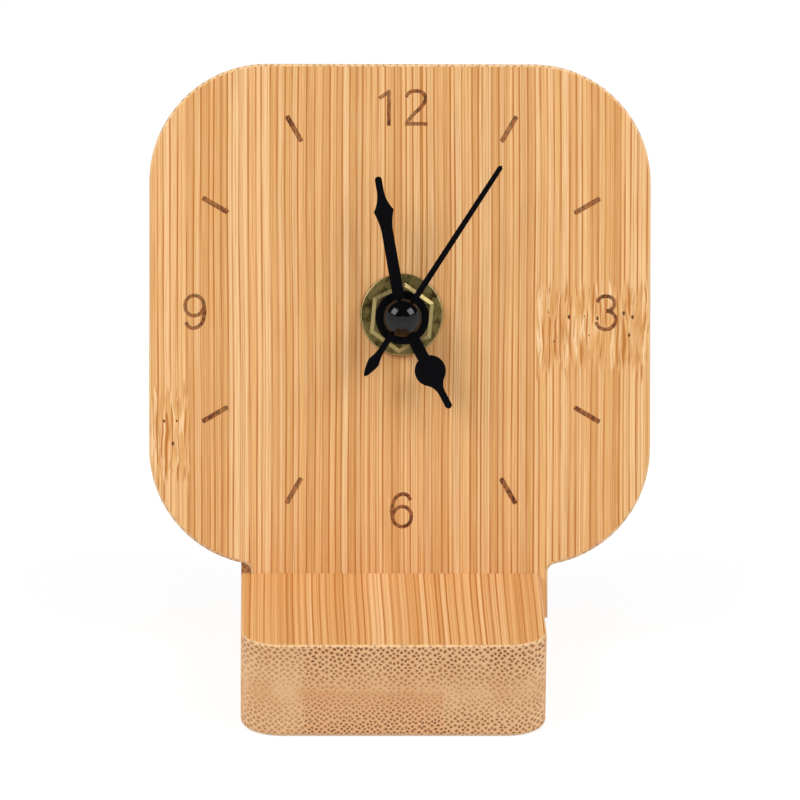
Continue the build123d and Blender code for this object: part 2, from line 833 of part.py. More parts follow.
# Stator: ring round the magnet, bar under the coil and an ear at each end of the core
with BuildPart() as motor_stator:
    with BuildSketch(behind(stator_depth)):
        with Locations(((stator_left + rotor_at[0]) / 2, (stator_bar_low + stator_bar_top) / 2)):
            Rectangle(rotor_at[0] - stator_left, stator_bar_width)
        with Locations((stator_left + stator_ear_width / 2, (stator_bar_low + stator_ear_top) / 2)):
            Rectangle(stator_ear_width, stator_ear_top - stator_bar_low)
        with Locations(((stator_right + right_ear_edge - stator_ear_width) / 2, (rotor_at[1] + stator_ear_top) / 2)):
            Rectangle(right_ear_edge - stator_right + stator_ear_width, stator_ear_top - rotor_at[1])
        with Locations(rotor_at):
            Circle(stator_ring_radius)
            Circle(stator_hole_radius, mode=Mode.SUBTRACT)
        with Locations(left_stator_post):
            Circle(peg_radius + running_clearance, mode=Mode.SUBTRACT)
    extrude(amount=-stator_thickness)
motor_stator.part.label = "motor_stator"

# Core strip, lying on the two ears
with BuildPart() as coil_core:
    add_block(
        behind(stator_rear),
        core_thickness,
        (stator_left, coil_up - core_width / 2),
        (stator_right, coil_up + core_width / 2),
    )
coil_core.part.label = "coil_core"

# Bobbin and winding
coil_left = coil_middle - coil_length / 2 + core_clearance
coil_span = coil_length - 2 * core_clearance
winding_span = coil_span - 2 * coil_flange_thickness
with BuildPart() as coil_bobbin:
    with BuildSketch(sideways(coil_left, coil_up, coil_depth)):
        Circle(coil_flange_radius)
    extrude(amount=coil_flange_thickness)
    with BuildSketch(sideways(coil_left + coil_flange_thickness, coil_up, coil_depth)):
        Circle(coil_tube_radius)
    extrude(amount=winding_span)
    with BuildSketch(sideways(coil_left + coil_span - coil_flange_thickness, coil_up, coil_depth)):
        Circle(coil_flange_radius)
    extrude(amount=coil_flange_thickness)
    with BuildSketch(sideways(coil_left, coil_up, coil_depth)):
        Rectangle(core_width + 2 * core_clearance, core_thickness + 2 * core_clearance)
    extrude(amount=coil_span, mode=Mode.SUBTRACT)
coil_bobbin.part.label = "coil_bobbin"

with BuildPart() as coil_winding:
    with BuildSketch(sideways(coil_left + coil_flange_thickness, coil_up, coil_depth)):
        Circle(coil_radius)
        Circle(coil_tube_radius, mode=Mode.SUBTRACT)
    extrude(amount=winding_span)
coil_winding.part.label = "coil_winding"

# Circuit board with its chip and crystal
with BuildPart() as circuit_board:
    with BuildSketch(behind(circuit_depth)):
        with Locations((0, circuit_middle)):
            Rectangle(circuit_length, circuit_width)
        with Locations(left_circuit_post, right_circuit_post):
            Circle(post_step_radius + running_clearance, mode=Mode.SUBTRACT)
    extrude(amount=-circuit_thickness)
circuit_board.part.label = "circuit_board"

with BuildPart() as timing_chip:
    with BuildSketch(behind(circuit_depth)):
        with Locations((chip_at, circuit_middle)):
            Circle(chip_radius)
    extrude(amount=chip_height, taper=25)
timing_chip.part.label = "timing_chip"

with BuildPart() as quartz_crystal:
    crystal_plane = sideways(crystal_at - crystal_length / 2, circuit_middle, circuit_depth - crystal_radius)
    with BuildSketch(crystal_plane):
        Circle(crystal_radius)
    extrude(amount=crystal_length)
quartz_crystal.part.label = "quartz_crystal"

# Battery cell
with BuildPart() as battery_cell:
    with BuildSketch(sideways(cell_left, cell_up, cell_depth)):
        Circle(cell_radius)
    extrude(amount=cell_length - cell_button_length)
    fillet(battery_cell.edges().filter_by(GeomType.CIRCLE), radius=cell_edge)
    with BuildSketch(sideways(cell_right - cell_button_length, cell_up, cell_depth)):
        Circle(cell_button_radius)
    extrude(amount=cell_button_length)
battery_cell.part.label = "battery_cell"

# Contacts: a plate on the bay's end wall, a tab through the divider and a foot on the circuit
contact_outer = room_half_width - contact_play
contact_inner = contact_outer - contact_sheet
foot_end = circuit_length / 2 - contact_tab_width / 2
foot_high = circuit_low + contact_tab_width
tab_front = circuit_rear - contact_tab_width


def add_contact(side):
    """Strip at one end of the bay, up the wall and onto the circuit board's rear face."""
    plate = sorted((side * contact_inner, side * contact_outer))
    foot = sorted((side * foot_end, side * contact_outer))
    add_block(
        behind(cell_depth - contact_width / 2),
        contact_width,
        (plate[0], cell_up - contact_width / 2),
        (plate[1], cell_up + contact_width / 2),
    )
    add_block(
        behind(tab_front),
        contact_tab_width + contact_play + contact_sheet,
        (plate[0], cell_up + contact_width / 2 - contact_tab_width / 2),
        (plate[1], foot_high),
    )
    add_block(
        behind(circuit_rear + contact_play),
        contact_sheet,
        (foot[0], circuit_low + wheel_play),
        (foot[1], foot_high),
    )


with BuildPart() as contact_positive:
    add_contact(1)
contact_positive.part.label = "contact_positive"

# The negative strip carries a leaf that bows out to the cell
leaf_tip = cell_left - contact_play
leaf_ends = (cell_depth - contact_width / 2, cell_depth + contact_width / 2)
with BuildPart() as contact_negative:
    add_contact(-1)
    with BuildSketch(level(cell_up - contact_width / 2)):
        with BuildLine():
            ThreePointArc(
                (-contact_inner, leaf_ends[0]),
                (leaf_tip, cell_depth),
                (-contact_inner + spring_sheet * 2, leaf_ends[1]),
            )
            Line(
                (-contact_inner + spring_sheet * 2, leaf_ends[1]),
                (-contact_inner + spring_sheet, leaf_ends[1]),
            )
            ThreePointArc(
                (-contact_inner + spring_sheet, leaf_ends[1]),
                (leaf_tip - spring_sheet, cell_depth),
                (-contact_inner - spring_sheet, leaf_ends[0]),
            )
            Line((-contact_inner - spring_sheet, leaf_ends[0]), (-contact_inner, leaf_ends[0]))
        make_face()
    extrude(amount=contact_width)
contact_negative.part.label = "contact_negative"

# Setting knob with its stem and pinion
knob_front = case_depth + collar_height + knob_gap
knob_pivot = cannon_depth - wheel_play - boss_hole_depth / 2 + wheel_play
with BuildPart() as setting_knob:
    add_disc(behind(knob_front), knob_thickness, knob_radius, knob_at)
    rim_edges = setting_knob.edges().filter_by(GeomType.CIRCLE).sort_by(shaft_axis)
    chamfer(rim_edges[0], length=knob_edge)
    with BuildSketch(behind(knob_front)):
        with Locations(knob_at):
            with PolarLocations(knob_radius, knob_flutes):
                Circle(knob_flute_radius)
    extrude(amount=-knob_thickness, mode=Mode.SUBTRACT)
    add_disc(behind(cannon_depth), knob_front - cannon_depth, stem_radius, knob_at)
    add_disc(behind(knob_pivot), cannon_depth - knob_pivot, arbor_radius, knob_at)
    add_gear(behind(cannon_depth), cannon_thickness, knob_teeth, motion_module, knob_phase, knob_at)
setting_knob.part.label = "setting_knob"


def hand_plane(height, angle):
    """Plane at this height whose y points along a hand at this clockwise angle from twelve."""
    turn = math.radians(angle)
    across = Vector(1, 0, 0) * math.cos(turn) - board_up * math.sin(turn)
    return Plane(origin=before(height).origin, x_dir=across, z_dir=board_out)


# Hour hand: round hub, straight shaft, disc, flare and stick
flare_start = polar(hour_disc_radius, 50.0, (0, hour_disc_at))
flare_end = hour_disc_at + hour_flare_length
with BuildPart() as hour_hand:
    with BuildSketch(hand_plane(hour_low, hour_angle)):
        with BuildLine():
            Line((0, 0), (hour_shaft_half, 0))
            Line((hour_shaft_half, 0), (hour_shaft_half, hour_disc_at))
            Line((hour_shaft_half, hour_disc_at), flare_start)
            ThreePointArc(
                flare_start,
                (hour_stick_half + 0.45, (flare_start[1] + flare_end) / 2 - 0.3),
                (hour_stick_half, flare_end),
            )
            Line((hour_stick_half, flare_end), (hour_stick_half, hour_length - hour_stick_half))
            RadiusArc((hour_stick_half, hour_length - hour_stick_half), (0, hour_length), -hour_stick_half)
            Line((0, hour_length), (0, 0))
        make_face()
        mirror(about=Plane.YZ)
        with Locations((0, hour_disc_at)):
            Circle(hour_disc_radius)
        Circle(hour_hub_radius)
    extrude(amount=hand_sheet)
    with BuildSketch(before(hour_collar_low)):
        Circle(hour_collar_radius)
    extrude(amount=hour_collar_height)
    add_disc(before(hour_top), 2 * board_thickness, hour_radius + fitting_clearance, mode=Mode.SUBTRACT)
hour_hand.part.label = "hour_hand"

# Minute hand: shaft that swells to two shoulders and draws in to a stick
waist_end = minute_shoulder_at + minute_flare_length
swell_start = minute_shoulder_at - minute_flare_length
with BuildPart() as minute_hand:
    with BuildSketch(hand_plane(minute_low, minute_angle)):
        with BuildLine():
            Line((0, 0), (minute_shaft_half, 0))
            Line((minute_shaft_half, 0), (minute_shaft_half, swell_start))
            ThreePointArc(
                (minute_shaft_half, swell_start),
                ((minute_shaft_half * 2 + minute_shoulder_half) / 3, (swell_start + minute_shoulder_at) / 2),
                (minute_shoulder_half, minute_shoulder_at),
            )
            ThreePointArc(
                (minute_shoulder_half, minute_shoulder_at),
                ((minute_stick_half * 3 + minute_shoulder_half) / 4, (waist_end + minute_shoulder_at) / 2),
                (minute_stick_half, waist_end),
            )
            Line((minute_stick_half, waist_end), (minute_stick_half, minute_length - minute_stick_half))
            RadiusArc((minute_stick_half, minute_length - minute_stick_half), (0, minute_length), -minute_stick_half)
            Line((0, minute_length), (0, 0))
        make_face()
        mirror(about=Plane.YZ)
        Circle(minute_hub_radius)
    extrude(amount=hand_sheet)
    with BuildSketch(before(minute_collar_low)):
        Circle(minute_collar_radius)
    extrude(amount=minute_collar_height)
    add_disc(before(minute_top), 2 * board_thickness, minute_radius + fitting_clearance, mode=Mode.SUBTRACT)
minute_hand.part.label = "minute_hand"

# Second hand: long blade, spear-shaped tail and a short tube under it
with BuildPart() as second_hand:
    with BuildSketch(hand_plane(second_low, second_angle)):
        with BuildLine():
            Line((0, second_length), (second_tip_half, second_length - second_tip_half))
            Line((second_tip_half, second_length - second_tip_half), (second_half, 0))
            Line((second_half, 0), (second_half, -tail_neck_at))
            ThreePointArc(
                (second_half, -tail_neck_at),
                ((second_half * 2 + tail_belly_half) / 3, -(tail_neck_at + tail_belly_at) / 2),
                (tail_belly_half, -tail_belly_at),
            )
            ThreePointArc(
                (tail_belly_half, -tail_belly_at),
                ((tail_belly_half + tail_tip_half) / 2 + 0.15, -(tail_belly_at + tail_length) / 2),
                (tail_tip_half, -tail_length),
            )
            Line((tail_tip_half, -tail_length), (0, -tail_length))
            Line((0, -tail_length), (0, second_length))
        make_face()
        mirror(about=Plane.YZ)
        Circle(second_collar_radius)
    extrude(amount=second_sheet)
    with BuildSketch(before(second_collar_low)):
        Circle(second_collar_radius)
    extrude(amount=second_collar_height)
    add_disc(before(second_top), 2 * board_thickness, second_arbor_radius + fitting_clearance, mode=Mode.SUBTRACT)
second_hand.part.label = "second_hand"

# Dome over the hub
cap_top = second_top + cap_skirt + cap_crown
with BuildPart() as hand_cap:
    with BuildSketch(turning_plane) as cap_outline:
        with BuildLine():
            Line((0, second_top + cap_socket), (second_arbor_radius + fitting_clearance, second_top + cap_socket))
            Line(
                (second_arbor_radius + fitting_clearance, second_top + cap_socket),
                (second_arbor_radius + fitting_clearance, second_top),
            )
            Line((second_arbor_radius + fitting_clearance, second_top), (cap_radius, second_top))
            Line((cap_radius, second_top), (cap_radius, second_top + cap_skirt))
            TangentArc((0, cap_top), (cap_radius, second_top + cap_skirt), tangent=(1, 0))
            Line((0, cap_top), (0, second_top + cap_socket))
        make_face()
        rim_corners = cap_outline.vertices().group_by(Axis.X)[-1]
        fillet(rim_corners.sort_by(Axis.Y)[-1], radius=cap_edge)
    revolve(axis=shaft_axis)
hand_cap.part.label = "hand_cap"

pieces = (
    base_block,
    face_board,
    dial_washer,
    hex_nut,
    shaft_bushing,
    movement_gasket,
    movement_case,
    movement_cover,
    train_plate,
    hour_wheel,
    minute_arbor,
    clutch_wheel,
    clutch_spring,
    motion_wheel,
    third_wheel,
    second_wheel,
    intermediate_wheel,
    motor_rotor,
    motor_stator,
    coil_core,
    coil_bobbin,
    coil_winding,
    circuit_board,
    timing_chip,
    quartz_crystal,
    battery_cell,
    contact_positive,
    contact_negative,
    setting_knob,
    hour_hand,
    minute_hand,
    second_hand,
    hand_cap,
)
os.makedirs("parts", exist_ok=True)
for piece in pieces:
    export_step(piece.part, f"parts/{piece.part.label}.step")
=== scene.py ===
import json
import math

import bpy
from mathutils import Matrix, Vector


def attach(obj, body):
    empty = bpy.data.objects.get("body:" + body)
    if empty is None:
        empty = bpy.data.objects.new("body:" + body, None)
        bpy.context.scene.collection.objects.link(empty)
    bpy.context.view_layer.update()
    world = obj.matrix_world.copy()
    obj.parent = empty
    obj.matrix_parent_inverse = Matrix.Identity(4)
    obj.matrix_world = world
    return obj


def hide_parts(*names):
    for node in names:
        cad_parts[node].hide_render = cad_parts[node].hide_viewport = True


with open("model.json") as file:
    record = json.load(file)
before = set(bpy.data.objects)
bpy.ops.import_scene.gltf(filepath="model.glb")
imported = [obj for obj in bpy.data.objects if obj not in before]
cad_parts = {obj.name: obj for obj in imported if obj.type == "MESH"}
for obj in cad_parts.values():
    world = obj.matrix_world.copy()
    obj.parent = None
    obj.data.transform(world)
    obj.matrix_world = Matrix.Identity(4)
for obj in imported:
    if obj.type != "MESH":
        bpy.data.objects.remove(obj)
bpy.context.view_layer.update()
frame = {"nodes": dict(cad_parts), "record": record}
nodes = frame["nodes"]

MM = 0.001
WELD = 0.002 * MM

# The face board's front: its lean, its middle, and a frame with z out of the wood
LEAN = math.radians(17.0)
FACE_TURN = math.pi / 2 - LEAN
FACE_CENTRE = Vector((1.85, 23.5571, 68.2497)) * MM
FACE_FRAME = Matrix.Translation(FACE_CENTRE) @ Matrix.Rotation(FACE_TURN, 4, "X")

# The cell's printed sleeve along x, in millimetres
CELL_MIDDLE = 2.55
CELL_SLEEVE = 48.2
CELL_BAND = 6.5

# Threaded bushing, in millimetres along and away from the shaft, from its foot on the face
SHAFT_FOOT = Vector((2.15, 23.3963, 67.7237)) * MM
SHAFT_FRAME = Matrix.Translation(SHAFT_FOOT) @ Matrix.Rotation(FACE_TURN, 4, "X")
BUSHING_BORE = 2.56
BUSHING_RADIUS = 3.95
BUSHING_END = 4.4
BUSHING_CHAMFER = 0.4
FLANGE_RADIUS = 6.5
FLANGE_FRONT = -10.3
FLANGE_THICKNESS = 0.8
THREAD_PITCH = 0.75
THREAD_DEPTH = 0.32
THREAD_START = -7.9
THREAD_FOOT = 0.42 * THREAD_PITCH
THREAD_CREST = 0.06 * THREAD_PITCH
THREAD_SUNK = 0.05
THREAD_WORN = 0.02
TUBE_EDGE = 0.08
TUBE_SHARP = math.radians(28)

# Dial marks, in millimetres on the face. Their circle is a little lower than it is wide
DIAL_CENTRE = (0.25, 1.0)
TICK_CIRCLE = 42.8
DIAL_SQUASH = 0.973
TICK_LENGTH = 5.9
TICK_WIDTH = 0.96
MARK_HEIGHT = 0.06
STROKE = 0.73


# Node helpers

def put(tree, kind, inputs=None, **settings):
    """A new node: sockets given as inputs are linked, numbers are set on the socket."""
    made = tree.nodes.new(kind)
    for name, value in settings.items():
        setattr(made, name, value)
    for key, value in (inputs or {}).items():
        if isinstance(value, bpy.types.NodeSocket):
            tree.links.new(value, made.inputs[key])
        else:
            made.inputs[key].default_value = value
    return made


def calc(tree, operation, a, b=0.0, clamp=False):
    """The result of one sum. The short names below are the sums that come most."""
    made = put(tree, "ShaderNodeMath", {0: a, 1: b}, operation=operation, use_clamp=clamp)
    return made.outputs[0]


def plus(tree, a, b):
    return calc(tree, "ADD", a, b)


def minus(tree, a, b):
    return calc(tree, "SUBTRACT", a, b)


def times(tree, a, b):
    return calc(tree, "MULTIPLY", a, b)


def divided(tree, a, b):
    return calc(tree, "DIVIDE", a, b)


def split(tree, value):
    """The three parts of a vector or a colour."""
    return put(tree, "ShaderNodeSeparateXYZ", {0: value}).outputs


def ease(tree, value, low, high, to_low=0.0, to_high=1.0):
    """Smooth step of a value from one range to another."""
    made = put(
        tree,
        "ShaderNodeMapRange",
        {"Value": value, "From Min": low, "From Max": high, "To Min": to_low, "To Max": to_high},
        interpolation_type="SMOOTHSTEP",
    )
    return made.outputs["Result"]


def blend_colour(tree, share, a, b, kind="MIX"):
    """Colour a with a share of colour b."""
    made = put(tree, "ShaderNodeMix", data_type="RGBA", blend_type=kind, clamp_factor=True)
    for key, value in ((0, share), (6, a), (7, b)):
        if isinstance(value, bpy.types.NodeSocket):
            tree.links.new(value, made.inputs[key])
        elif key == 0:
            made.inputs[key].default_value = value
        else:
            made.inputs[key].default_value = (*value, 1.0)
    return made.outputs[2]


def joined(tree, x, y, z):
    """A vector from its three parts."""
    return put(tree, "ShaderNodeCombineXYZ", {0: x, 1: y, 2: z}).outputs[0]


def grain_noise(tree, place, scale, detail=2.0, roughness=0.5, distortion=0.0):
    """Noise at a separate frequency along each axis, in cycles a millimetre."""
    stretched = put(tree, "ShaderNodeVectorMath", {0: place, 1: scale}, operation="MULTIPLY")
    made = put(
        tree,
        "ShaderNodeTexNoise",
        {
            "Vector": stretched.outputs[0],
            "Scale": 1.0,
            "Detail": detail,
            "Roughness": roughness,
            "Distortion": distortion,
        },
    )
    return made.outputs[0]


def srgb(r, g, b):
    """Linear colour from the 0 to 255 values of a screen colour."""
    return tuple(((c / 255 + 0.055) / 1.055) ** 2.4 if c > 10 else c / 255 / 12.92 for c in (r, g, b))


def start_finish(name):
    """A new material with its tree, shader and the object coordinates."""
    material = bpy.data.materials.new(name)
    material.use_nodes = True
    tree = material.node_tree
    shader = tree.nodes["Principled BSDF"]
    place = put(tree, "ShaderNodeTexCoord")
    return material, tree, shader, place


def in_millimetres(tree, place, turn=(0.0, 0.0, 0.0), centre=(0.0, 0.0, 0.0)):
    """Object coordinates counted in millimetres from a centre, in a turned frame."""
    inputs = {"Vector": place.outputs["Object"], "Location": centre, "Rotation": turn, "Scale": (MM, MM, MM)}
    return put(tree, "ShaderNodeMapping", inputs, vector_type="TEXTURE").outputs[0]


def cell_pattern(tree, place, feature, dimensions, randomness=1.0):
    """Cells along a line (1D) or in a plane (2D): all that their texture gives."""
    inputs = {"W" if dimensions == "1D" else "Vector": place, "Scale": 1.0, "Randomness": randomness}
    made = put(tree, "ShaderNodeTexVoronoi", inputs, voronoi_dimensions=dimensions, feature=feature)
    return made.outputs


def pick(tree, share, a, b):
    """One number or the other, or a mix of both."""
    return put(tree, "ShaderNodeMix", {0: share, 2: a, 3: b}, data_type="FLOAT").outputs[0]


def random_of(tree, x, y, z):
    """Random values that are the same wherever x, y and z are the same."""
    inputs = {"Vector": joined(tree, x, y, z)}
    return put(tree, "ShaderNodeTexWhiteNoise", inputs, noise_dimensions="3D").outputs


def raise_detail(tree, shader, height, distance, strength=1.0):
    """Relief that only the light sees, from a height between 0 and 1."""
    bump = put(tree, "ShaderNodeBump", {"Height": height, "Distance": distance, "Strength": strength})
    tree.links.new(bump.outputs[0], shader.inputs["Normal"])


# Bamboo: colours of its fibres along their length, then of their ends, then of the burnt marks

LIGHT = srgb(245, 193, 130)
MIDDLE = srgb(233, 176, 111)
DEEP = srgb(217, 156, 91)
STREAK = srgb(206, 143, 78)
LINE = srgb(193, 121, 52)
PALE = srgb(252, 212, 160)
CORE = srgb(132, 74, 36)
SPECK = srgb(92, 54, 24)
END_LIGHT = srgb(238, 190, 138)
END_DEEP = srgb(226, 172, 118)
END_RED = srgb(222, 160, 108)
END_HALO = srgb(188, 122, 70)
END_NET = srgb(250, 212, 164)
SCORCHED = srgb(158, 89, 37)
CHARRED = srgb(84, 37, 9)


def fibre_cells(tree, across, pitch):
    """Fibres side by side, none of them as wide as the next.

    Gives the distance to the border, and three random values of the fibre."""
    where = divided(tree, across, pitch)
    border = cell_pattern(tree, where, "DISTANCE_TO_EDGE", "1D")
    cell = cell_pattern(tree, where, "F1", "1D")
    return times(tree, border["Distance"], pitch), split(tree, cell["Color"])


def inside_band(tree, value, low, high, soft):
    """1 between low and high and 0 outside, with soft borders."""
    rising = ease(tree, value, low - soft, low + soft)
    falling = ease(tree, value, high + soft, high - soft)
    return times(tree, rising, falling)


def speck_row(tree, across, along, height, pitch, salt):
    """A row of small dark holes, one in each pitch and none of them quite in line."""
    cell = calc(tree, "FLOOR", divided(tree, across, pitch))
    random = split(tree, random_of(tree, cell, salt, 0.0)["Color"])
    middle = plus(tree, cell, plus(tree, 0.2, times(tree, random[0], 0.6)))
    right = minus(tree, across, times(tree, middle, pitch))
    level = plus(tree, height - 0.7, times(tree, random[1], 1.4))
    up = times(tree, minus(tree, along, level), 0.62)
    squares = plus(tree, calc(tree, "POWER", right, 2.0), calc(tree, "POWER", up, 2.0))
    away = calc(tree, "SQRT", squares)
    size = ease(tree, random[2], 0.15, 0.9, 0.12, 0.3)
    return ease(tree, divided(tree, away, size), 1.25, 0.6)


def long_fibres(tree, across, along, deep, reach):
    """Colour of straight fibres, the share of dark lines, and the finest fibres for the relief.

    Reach is how far every mark runs along the fibres, as a multiple of the clock face's."""
    place = joined(tree, across, divided(tree, along, reach), deep)
    bands = grain_noise(tree, place, (0.2, 0.003, 0.1), 1.0)
    sway = minus(tree, grain_noise(tree, place, (0.25, 0.02, 0.2), 1.0), 0.5)
    bent = plus(tree, across, times(tree, sway, 0.35))
    edge, own = fibre_cells(tree, bent, 1.42)
    thin_edge, thin_own = fibre_cells(tree, plus(tree, bent, 311.7), 0.62)
    fine = grain_noise(tree, place, (4.6, 0.07, 2.0), 2.0, 0.65)
    wear = grain_noise(tree, place, (0.9, 0.022, 0.9), 2.0)
    colour = blend_colour(tree, ease(tree, bands, 0.4, 0.6, 0.1, 0.75), LIGHT, MIDDLE)
    colour = blend_colour(tree, ease(tree, own[0], 0.5, 1.0, 0.0, 0.75), colour, DEEP)
    colour = blend_colour(tree, ease(tree, own[0], 0.4, 0.0, 0.0, 0.6), colour, PALE)
    colour = blend_colour(tree, ease(tree, thin_own[1], 0.55, 1.0, 0.0, 0.5), colour, DEEP)
    colour = blend_colour(tree, ease(tree, fine, 0.45, 0.7, 0.0, 0.45), colour, DEEP)
    colour = blend_colour(tree, ease(tree, fine, 0.5, 0.3, 0.0, 0.35), colour, PALE)
    strong = times(tree, ease(tree, edge, 0.25, 0.08), ease(tree, wear, 0.34, 0.58, 0.35, 1.0))
    thin = times(tree, ease(tree, thin_edge, 0.13, 0.04), ease(tree, wear, 0.6, 0.42, 0.05, 0.55))
    dark = calc(tree, "MAXIMUM", strong, thin)
    return blend_colour(tree, dark, colour, LINE), dark, fine


def knot_fibres(tree, across, along, deep):
    """Colour of the short tapered streaks round a knot."""
    place = joined(tree, across, along, deep)
    sway = minus(tree, grain_noise(tree, place, (0.42, 0.1, 0.3), 1.0), 0.5)
    bent = plus(tree, across, times(tree, sway, 1.5))
    place = joined(tree, bent, along, deep)
    edge, own = fibre_cells(tree, plus(tree, bent, 77.3), 1.15)
    islands = grain_noise(tree, place, (1.05, 0.1, 0.5), 1.0, 0.4)
    dashes = grain_noise(tree, place, (0.7, 0.1, 0.6), 1.0, 0.4)
    thin = grain_noise(tree, place, (3.4, 0.16, 1.5), 2.0, 0.6)
    colour = blend_colour(tree, ease(tree, islands, 0.34, 0.54), PALE, MIDDLE)
    colour = blend_colour(tree, ease(tree, own[0], 0.5, 1.0, 0.0, 0.7), colour, DEEP)
    colour = blend_colour(tree, ease(tree, thin, 0.45, 0.64, 0.0, 0.9), colour, STREAK)
    colour = blend_colour(tree, ease(tree, thin, 0.44, 0.32, 0.0, 0.45), colour, PALE)
    narrowed = plus(tree, edge, ease(tree, dashes, 0.56, 0.42, 0.0, 0.32))
    return blend_colour(tree, ease(tree, narrowed, 0.29, 0.1), colour, LINE)


VESSEL_SPACING = 1.38
ROW_SPACING = 1.22


def fibre_ends(tree, across, deep, here, skin, weak_below, red_strip):
    """Colour of the fibres' ends, and the share of dots in it.

    The dots are dark vessels in a pale net, closest near the skin of each layer."""
    depth = minus(tree, deep, skin[0])
    lower = calc(tree, "LESS_THAN", depth, 0.0)
    in_red = calc(tree, "GREATER_THAN", red_strip, 0.5)
    outer = calc(tree, "MINIMUM", divided(tree, calc(tree, "ABSOLUTE", depth), skin[1]), 1.0)
    finer = plus(tree, 1.0, times(tree, lower, 0.05))
    finer = plus(tree, finer, times(tree, in_red, 0.08))
    swirl = times(tree, minus(tree, grain_noise(tree, here, (0.3, 0.3, 0.3), 1.0), 0.5), 0.8)
    column = divided(tree, plus(tree, across, swirl), VESSEL_SPACING)
    row = plus(tree, divided(tree, deep, ROW_SPACING), times(tree, lower, 40.0))
    flat = joined(tree, plus(tree, row, column), minus(tree, row, column), 0.0)
    place = put(tree, "ShaderNodeVectorMath", {0: flat, 3: finer}, operation="SCALE").outputs[0]
    vessels = cell_pattern(tree, place, "F1", "2D", 0.55)
    net = cell_pattern(tree, place, "DISTANCE_TO_EDGE", "2D", 0.55)
    own = split(tree, vessels["Color"])
    blotch = grain_noise(tree, here, (0.14, 0.14, 0.14), 2.0)
    closeness = calc(tree, "POWER", outer, 0.75)
    strength = plus(tree, 0.34, times(tree, closeness, 0.86))
    strength = times(tree, strength, ease(tree, blotch, 0.3, 0.6, 0.75, 1.1))
    strength = times(tree, strength, ease(tree, across, weak_below - 1.5, weak_below + 1.5, 0.42, 1.0))
    strength = times(tree, strength, plus(tree, 0.72, times(tree, own[0], 0.38)))
    size = plus(tree, 0.27, times(tree, closeness, 0.1))
    dot = ease(tree, divided(tree, vessels["Distance"], size), 1.0, 0.35)
    dots = calc(tree, "MULTIPLY", dot, strength, clamp=True)
    halo = ease(tree, vessels["Distance"], 0.6, 0.28, 0.0, 0.46)
    colour = blend_colour(tree, ease(tree, blotch, 0.35, 0.65), END_LIGHT, END_DEEP)
    colour = blend_colour(tree, times(tree, red_strip, 0.8), colour, END_RED)
    colour = blend_colour(tree, times(tree, halo, closeness), colour, END_HALO)
    web = ease(tree, net["Distance"], 0.14, 0.03)
    web = times(tree, web, ease(tree, closeness, 0.0, 0.7, 0.4, 0.9))
    colour = blend_colour(tree, web, colour, END_NET)
    return blend_colour(tree, dots, colour, CORE), dots


